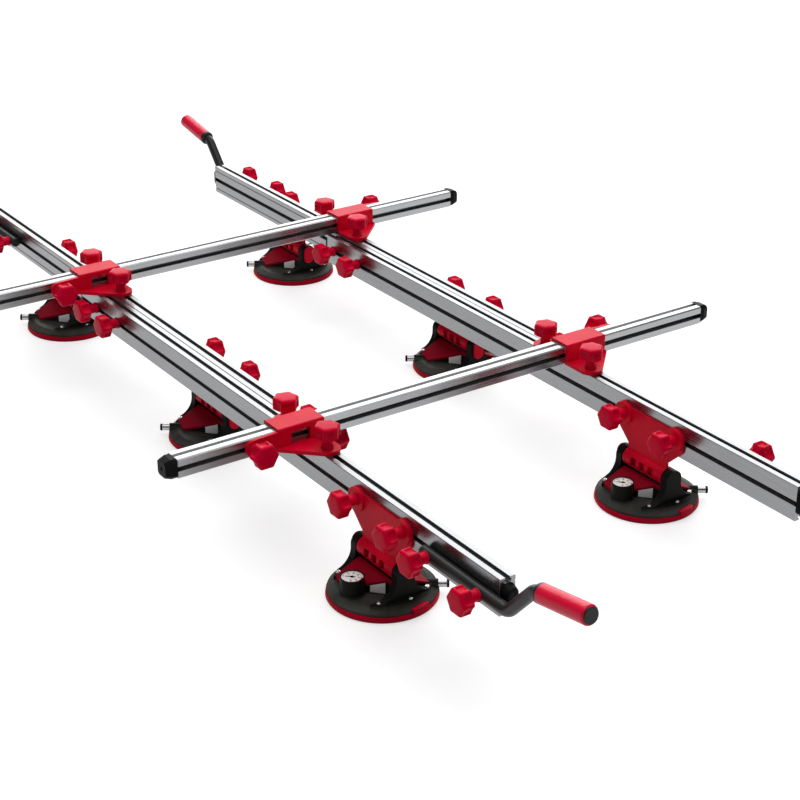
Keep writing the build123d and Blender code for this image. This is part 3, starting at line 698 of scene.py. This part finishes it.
# %% Screws
FOOT_TOP = 25
screw_spots = [(43, 55), (-4, 69.8), (-44.5, 56), (-43, -55), (4, -69.8), (44.5, -56)]
screw_mesh = skin("screw_shape", [
    circle(3.8, 0, 24), circle(3.8, 1.4, 24), circle(3.2, 2.3, 24), circle(2.4, 2.6, 24),
    hexagon(1.9, 2.6), hexagon(1.9, 1.0),
])
cups = {}
for joint in joints:
    if joint["name"].endswith("_tilt"):
        x, y = joint["pos_m"][:2]
        half_turn = 180 if joint["parent"].startswith("front") else 0
        cups[joint["child"]] = at(x / MM, y / MM, 0, (0, 0, half_turn))
for cup, place in cups.items():
    spots = [place @ at(x, y, FOOT_TOP) for x, y in screw_spots]
    screws = repeat_at(f"{cup}_screws", screw_mesh, spots, chrome)
    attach(screws, cup)
print("screws on each cup:", len(screw_spots), "cups:", len(cups))

# %% [markdown]
# ## The gauge dials
# Each gauge has a white card under its window, with a ring of marks, plain numbers, a red zone and a
# pointer. The marks follow an arc, so a second tree makes them: an arc curve becomes points, and a small
# bar lies on each of them. The scale leaves a quarter of the circle open at the bottom, as gauges do.

# %% Dial tree
DIAL_START, DIAL_SWEEP, MARK_HEIGHT = -45, 270, 0.15
dial = bpy.data.node_groups.new("dial_marks", "GeometryNodeTree")
for title, way, kind in (
    ("Base", "INPUT", "NodeSocketGeometry"),
    ("Count", "INPUT", "NodeSocketInt"),
    ("Radius", "INPUT", "NodeSocketFloat"),
    ("Length", "INPUT", "NodeSocketFloat"),
    ("Width", "INPUT", "NodeSocketFloat"),
    ("Finish", "INPUT", "NodeSocketMaterial"),
    ("Marks", "OUTPUT", "NodeSocketGeometry"),
):
    dial.interface.new_socket(title, in_out=way, socket_type=kind)
given = add(dial, "NodeGroupInput")
arc = add(dial, "GeometryNodeCurveArc", {
    "Resolution": 64, "Radius": given.outputs["Radius"],
    "Start Angle": radians(DIAL_START), "Sweep Angle": radians(DIAL_SWEEP),
})
spread = add(dial, "GeometryNodeCurveToPoints", {
    "Curve": arc.outputs["Curve"], "Count": given.outputs["Count"],
})
size = add(dial, "ShaderNodeCombineXYZ", {
    "X": given.outputs["Length"], "Y": given.outputs["Width"], "Z": MARK_HEIGHT * MM,
})
bar = add(dial, "GeometryNodeMeshCube", {"Size": size.outputs["Vector"]})
where = add(dial, "GeometryNodeInputPosition")
aim = add(dial, "FunctionNodeAlignRotationToVector", {"Vector": where.outputs["Position"]}, axis="X")
marks = add(dial, "GeometryNodeInstanceOnPoints", {
    "Points": spread.outputs["Points"], "Instance": bar.outputs["Mesh"], "Rotation": aim.outputs["Rotation"],
})
real = add(dial, "GeometryNodeRealizeInstances", {"Geometry": marks.outputs["Instances"]})
painted = add(dial, "GeometryNodeSetMaterial", {
    "Geometry": real.outputs["Geometry"], "Material": given.outputs["Finish"],
})
add(dial, "NodeGroupOutput", {"Marks": painted.outputs["Geometry"]})
print("dial tree:", len(dial.nodes), "nodes")

# %% [markdown]
# ## Marks and numbers
# Two runs of the tree give the short and the long marks. The numbers are text objects that become thin
# meshes, one for each long mark, from nought at the lower left round to the lower right.

# %% Marks and numbers
MARK_CIRCLE, NUMBER_CIRCLE, NUMBER_SIZE, NUMBER_HALF = 15.6, 10.0, 3.8, 0.07
LONG_MARKS = 7
marks_wanted = ((31, 1.6, 0.45), (LONG_MARKS, 3.2, 0.9))


def number(text, height):
    """A plain number as a thin mesh, centred on the origin."""
    words = bpy.data.curves.new("number_" + text, "FONT")
    words.body, words.size, words.extrude = text, height * MM, NUMBER_HALF * MM
    words.align_x, words.align_y = "CENTER", "CENTER"
    holder = bpy.data.objects.new("number_" + text, words)
    bpy.context.scene.collection.objects.link(holder)
    mesh = bpy.data.meshes.new_from_object(holder.evaluated_get(bpy.context.evaluated_depsgraph_get()))
    bpy.data.objects.remove(holder)
    return mesh


empty = bpy.data.meshes.new("dial_base")
printed = []
for count, length, width in marks_wanted:
    ring = run_tree(
        f"marks_{count}", dial, empty.copy(), Count=count, Radius=(MARK_CIRCLE - length / 2) * MM,
        Length=length * MM, Width=width * MM, Finish=ink,
    )
    printed.append((ring.data.copy(), Matrix()))
    bpy.data.objects.remove(ring)
for step in range(LONG_MARKS):
    angle = radians(DIAL_START + DIAL_SWEEP - DIAL_SWEEP / (LONG_MARKS - 1) * step)
    spot = at(NUMBER_CIRCLE * cos(angle), NUMBER_CIRCLE * sin(angle), 0)
    printed.append((number(str(step * 10), NUMBER_SIZE), spot))
print("marks and numbers:", len(printed), "meshes")

# %% [markdown]
# ## Pointer, card and zone
# The pointer rests on nought, because the cups are idle. Pointer, card and zone are thin slabs: the zone
# is a band along the rim of the card, over the last third of the scale.

# %% Pointer, card and zone
POINTER_LIFT, ZONE_OUTER, ZONE_INNER, ZONE_STEP = 0.35, 16.6, 14.6, 5


def slab(name, outline, low, high):
    """A flat plate of this outline between two heights."""
    return skin(name, [[(x, y, height) for x, y in outline] for height in (low, high)])


pointer = slab("pointer_shape", [(-4.5, -1.2), (10.5, -0.35), (10.5, 0.35), (-4.5, 1.2)], 0, 0.3)
printed.append((pointer, at(0, 0, POINTER_LIFT, (0, 0, DIAL_START + DIAL_SWEEP))))
pointer_hub = skin("pointer_hub", [circle(2.4, 0, 24), circle(2.4, 0.9, 24), circle(1.8, 1.1, 24)])
printed.append((pointer_hub, Matrix()))
card = skin("card_shape", [circle(16.9, 0, 64), circle(16.9, 0.3, 64)])
zone_end = DIAL_START + DIAL_SWEEP // 3
sweep = [radians(angle) for angle in range(DIAL_START, zone_end + 1, ZONE_STEP)]
band = [(ZONE_OUTER, angle) for angle in sweep] + [(ZONE_INNER, angle) for angle in sweep[::-1]]
zone = slab("zone_shape", [(radius * cos(angle), radius * sin(angle)) for radius, angle in band], 0.0, 0.12)
print("zone:", len(zone.vertices), "points")
print("dial print:", sum(len(mesh.polygons) for mesh, local in printed), "faces")

# %% [markdown]
# ## Dials on the gauges
# Everything in one ink becomes one mesh on each cup. The helper copies meshes to their places and joins
# them, which keeps the finished object itself at the origin.

# %% Dial pieces
GAUGE_OFFSET, DIAL_HEIGHT, PRINT_LIFT, ZONE_LIFT = 55, 48, 0.35, 0.26


def gather(name, parts, finish):
    """One object from several meshes, each with its own matrix."""
    whole = bmesh.new()
    for mesh, place in parts:
        copy = mesh.copy()
        copy.transform(place)
        whole.from_mesh(copy)
        bpy.data.meshes.remove(copy)
    made = bpy.data.meshes.new(name)
    whole.to_mesh(made)
    whole.free()
    made.materials.clear()
    made.materials.append(finish)
    holder = bpy.data.objects.new(name, made)
    bpy.context.scene.collection.objects.link(holder)
    return holder


for cup, place in cups.items():
    spot = place @ at(GAUGE_OFFSET, 0, DIAL_HEIGHT, (0, 0, 90))
    face = gather(f"{cup}_dial_card", [(card, spot)], white_print)
    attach(face, cup)
    raised = [(mesh, spot @ at(0, 0, PRINT_LIFT) @ local) for mesh, local in printed]
    lettering = gather(f"{cup}_dial_print", raised, ink)
    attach(lettering, cup)
    limit = gather(f"{cup}_dial_zone", [(zone, spot @ at(0, 0, ZONE_LIFT))], red_ink)
    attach(limit, cup)
print("dials:", len(cups))

# %% [markdown]
# ## Plunger buttons
# A hand pumps each cup by pushing its plunger. The steel ends in a dark button, a small cup that is
# fitted over it and rides with the plunger.

# %% Plunger buttons
PUMP_HEIGHT, PUMP_TIP, PUMP_ANGLE = 17.8, 103, 146
button = skin("button_shape", [
    circle(6.15, -4.0), circle(6.35, -3.6), circle(6.35, -0.9), circle(5.6, 0.0), circle(3.0, 0.15),
])
for cup, place in cups.items():
    spot = place @ at(0, 0, PUMP_HEIGHT, (0, 0, PUMP_ANGLE)) @ at(PUMP_TIP, 0, 0, (0, 90, 0))
    piece = gather(f"{cup}_plunger_button", [(button, spot)], black_nylon)
    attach(piece, f"{cup}_plunger")
print("buttons:", len(cups))

# %% [markdown]
# ## Plain plates
# A pale plate lies on both walls of the block under each bridge, and stays plain. It is drawn as four
# corners along one wall and upwards, and the other wall's plate is the same one after half a turn.

# %% Plain plates
WALL_START, WALL_END = Vector((60, -17, 0)), Vector((14, 34, 0))
PLATE_CORNERS = ((42, 21), (66, 21), (66, 40), (42, 32.5))
PLATE_BACK, PLATE_FACE = 0.1, 0.5
run = (WALL_END - WALL_START).normalized()
out = Vector((run.y, -run.x, 0))
plate_rings = []
for lift in (PLATE_BACK, PLATE_FACE):
    feet = [(WALL_START + run * along + out * lift, height) for along, height in PLATE_CORNERS]
    plate_rings.append([(foot.x, foot.y, height) for foot, height in feet])
plate = skin("plate_shape", plate_rings)
for cup, place in cups.items():
    both_walls = [(plate, place), (plate, place @ at(0, 0, 0, (0, 0, 180)))]
    piece = gather(f"{cup}_plain_plate", both_walls, plate_foil)
    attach(piece, cup)
print("plates:", 2 * len(cups))

# %% [markdown]
# ## Cap screws
# A screw holds the cap in each end of a crossbar. Both crossbars ride the left rails, and so do their
# screws.

# %% Cap screws
CAP_FACE = 551
cap_screw = skin("cap_screw_shape", [
    circle(2.7, 0, 24), circle(2.7, 1.6, 24), circle(2.2, 2.2, 24), hexagon(1.5, 2.2), hexagon(1.5, 0.9),
])
bar_middle = RAIL_TOP + BAR_GAP + BAR_SIZE / 2
for end, way in (("front", -1), ("rear", 1)):
    spots = [at(tip * CAP_FACE, way * BAR_STATION[end], bar_middle, (0, 90 * tip, 0)) for tip in (-1, 1)]
    screws = repeat_at(f"{end}_cap_screws", cap_screw, spots, chrome)
    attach(screws, f"{end}_left")
    print(end, "cap screws:", len(spots))

# %% [markdown]
# ## Floor
# The lifter stands on white paper, so wide that no edge of it is in view. The paper is a pale grey with
# faint clouds, which takes the shadows. For the rays that see it, directly, mirrored or through something
# clear, it also glows a little, which keeps it white without more light on the lifter.

# %% Floor
FLOOR_SIZE, PAPER_CLOUD, PAPER_GLOW = 120, 300, 0.53
bpy.ops.mesh.primitive_plane_add(size=FLOOR_SIZE, location=(0, 0, 0))
floor = bpy.context.object
floor.name = "floor"
paper, tree = new_finish("white_paper_floor")
fibre = add(tree, "ShaderNodeTexNoise", {
    "Vector": add(tree, "ShaderNodeTexCoord").outputs["Object"],
    "Scale": 1 / (PAPER_CLOUD * MM), "Detail": 3.0,
})
white = add(tree, "ShaderNodeMix", {
    "Factor": fibre.outputs["Fac"], "A": linear("#D2D2D2"), "B": linear("#D0D0D0"),
}, data_type="RGBA")
path = add(tree, "ShaderNodeLightPath")
seen = add(tree, "ShaderNodeMath", {
    0: path.outputs["Is Camera Ray"], 1: path.outputs["Is Glossy Ray"],
}, operation="MAXIMUM")
seen = add(tree, "ShaderNodeMath", {
    0: seen.outputs["Value"], 1: path.outputs["Is Transmission Ray"],
}, operation="MAXIMUM")
glow = add(tree, "ShaderNodeMath", {0: seen.outputs["Value"], 1: PAPER_GLOW}, operation="MULTIPLY")
shader = add(tree, "ShaderNodeBsdfPrincipled", {
    "Base Color": white.outputs["Result"], "Roughness": 0.9, "Specular IOR Level": 0.0,
    "Emission Color": linear("#FFFFFF"), "Emission Strength": glow.outputs["Value"],
})
add(tree, "ShaderNodeOutputMaterial", {"Surface": shader.outputs["BSDF"]})
floor.data.materials.append(paper)
print("floor:", FLOOR_SIZE, "m wide")

# %% [markdown]
# ## Light
# A broad overhead softbox gives the soft shadows, and a larger one far behind the lifter is what the tops
# of the rails mirror towards the camera. The world is an even white at low strength that fills the
# shadows. A softbox is given by its radiance, so that its size can change and its face stays as bright.

# %% Light
WORLD_STRENGTH = 0.2
world = bpy.data.worlds.new("studio")
bpy.context.scene.world = world
world.use_nodes = True
tree = world.node_tree
tree.nodes.clear()
sky = add(tree, "ShaderNodeBackground", {"Color": linear("#FFFFFF"), "Strength": WORLD_STRENGTH})
add(tree, "ShaderNodeOutputWorld", {"Surface": sky.outputs["Background"]})


def softbox(name, place, aim, width, depth, radiance):
    """A rectangular lamp of this radiance that faces a point."""
    lamp = bpy.data.lights.new(name, "AREA")
    lamp.shape, lamp.size, lamp.size_y = "RECTANGLE", width, depth
    lamp.energy = radiance * pi * width * depth
    holder = bpy.data.objects.new(name, lamp)
    bpy.context.scene.collection.objects.link(holder)
    holder.location = place
    holder.rotation_euler = (Vector(aim) - Vector(place)).to_track_quat("-Z", "Y").to_euler()
    return lamp


overhead = softbox("overhead_softbox", (0.3, -0.3, 3.2), (0.3, -0.3, 0), width=4.2, depth=4.0, radiance=1.7)
behind = softbox("back_softbox", (4.6, 6.8, 4.2), (0, 0, 0.1), width=10, depth=8.8, radiance=3.0)
print("lamps:", round(overhead.energy), "W overhead,", round(behind.energy), "W behind")

# %% [markdown]
# ## Camera
# The camera's place, direction and lens were fitted to the straight edges in the photograph. The Standard
# view shows a colour about as it is written.

# %% Camera
SENSOR, LENS = 36, 81.32
CAMERA_PLACE, CAMERA_TILT, CAMERA_TURN = (-1.6386, -2.6075, 1.4678), 64.544, -34.369
camera = bpy.data.cameras.new("camera")
camera.sensor_width, camera.lens = SENSOR, LENS
holder = bpy.data.objects.new("camera", camera)
bpy.context.scene.collection.objects.link(holder)
holder.location = CAMERA_PLACE
holder.rotation_euler = (radians(CAMERA_TILT), 0, radians(CAMERA_TURN))
bpy.context.scene.camera = holder
bpy.context.scene.view_settings.view_transform = "Standard"
print("camera at", [round(v, 3) for v in holder.location])
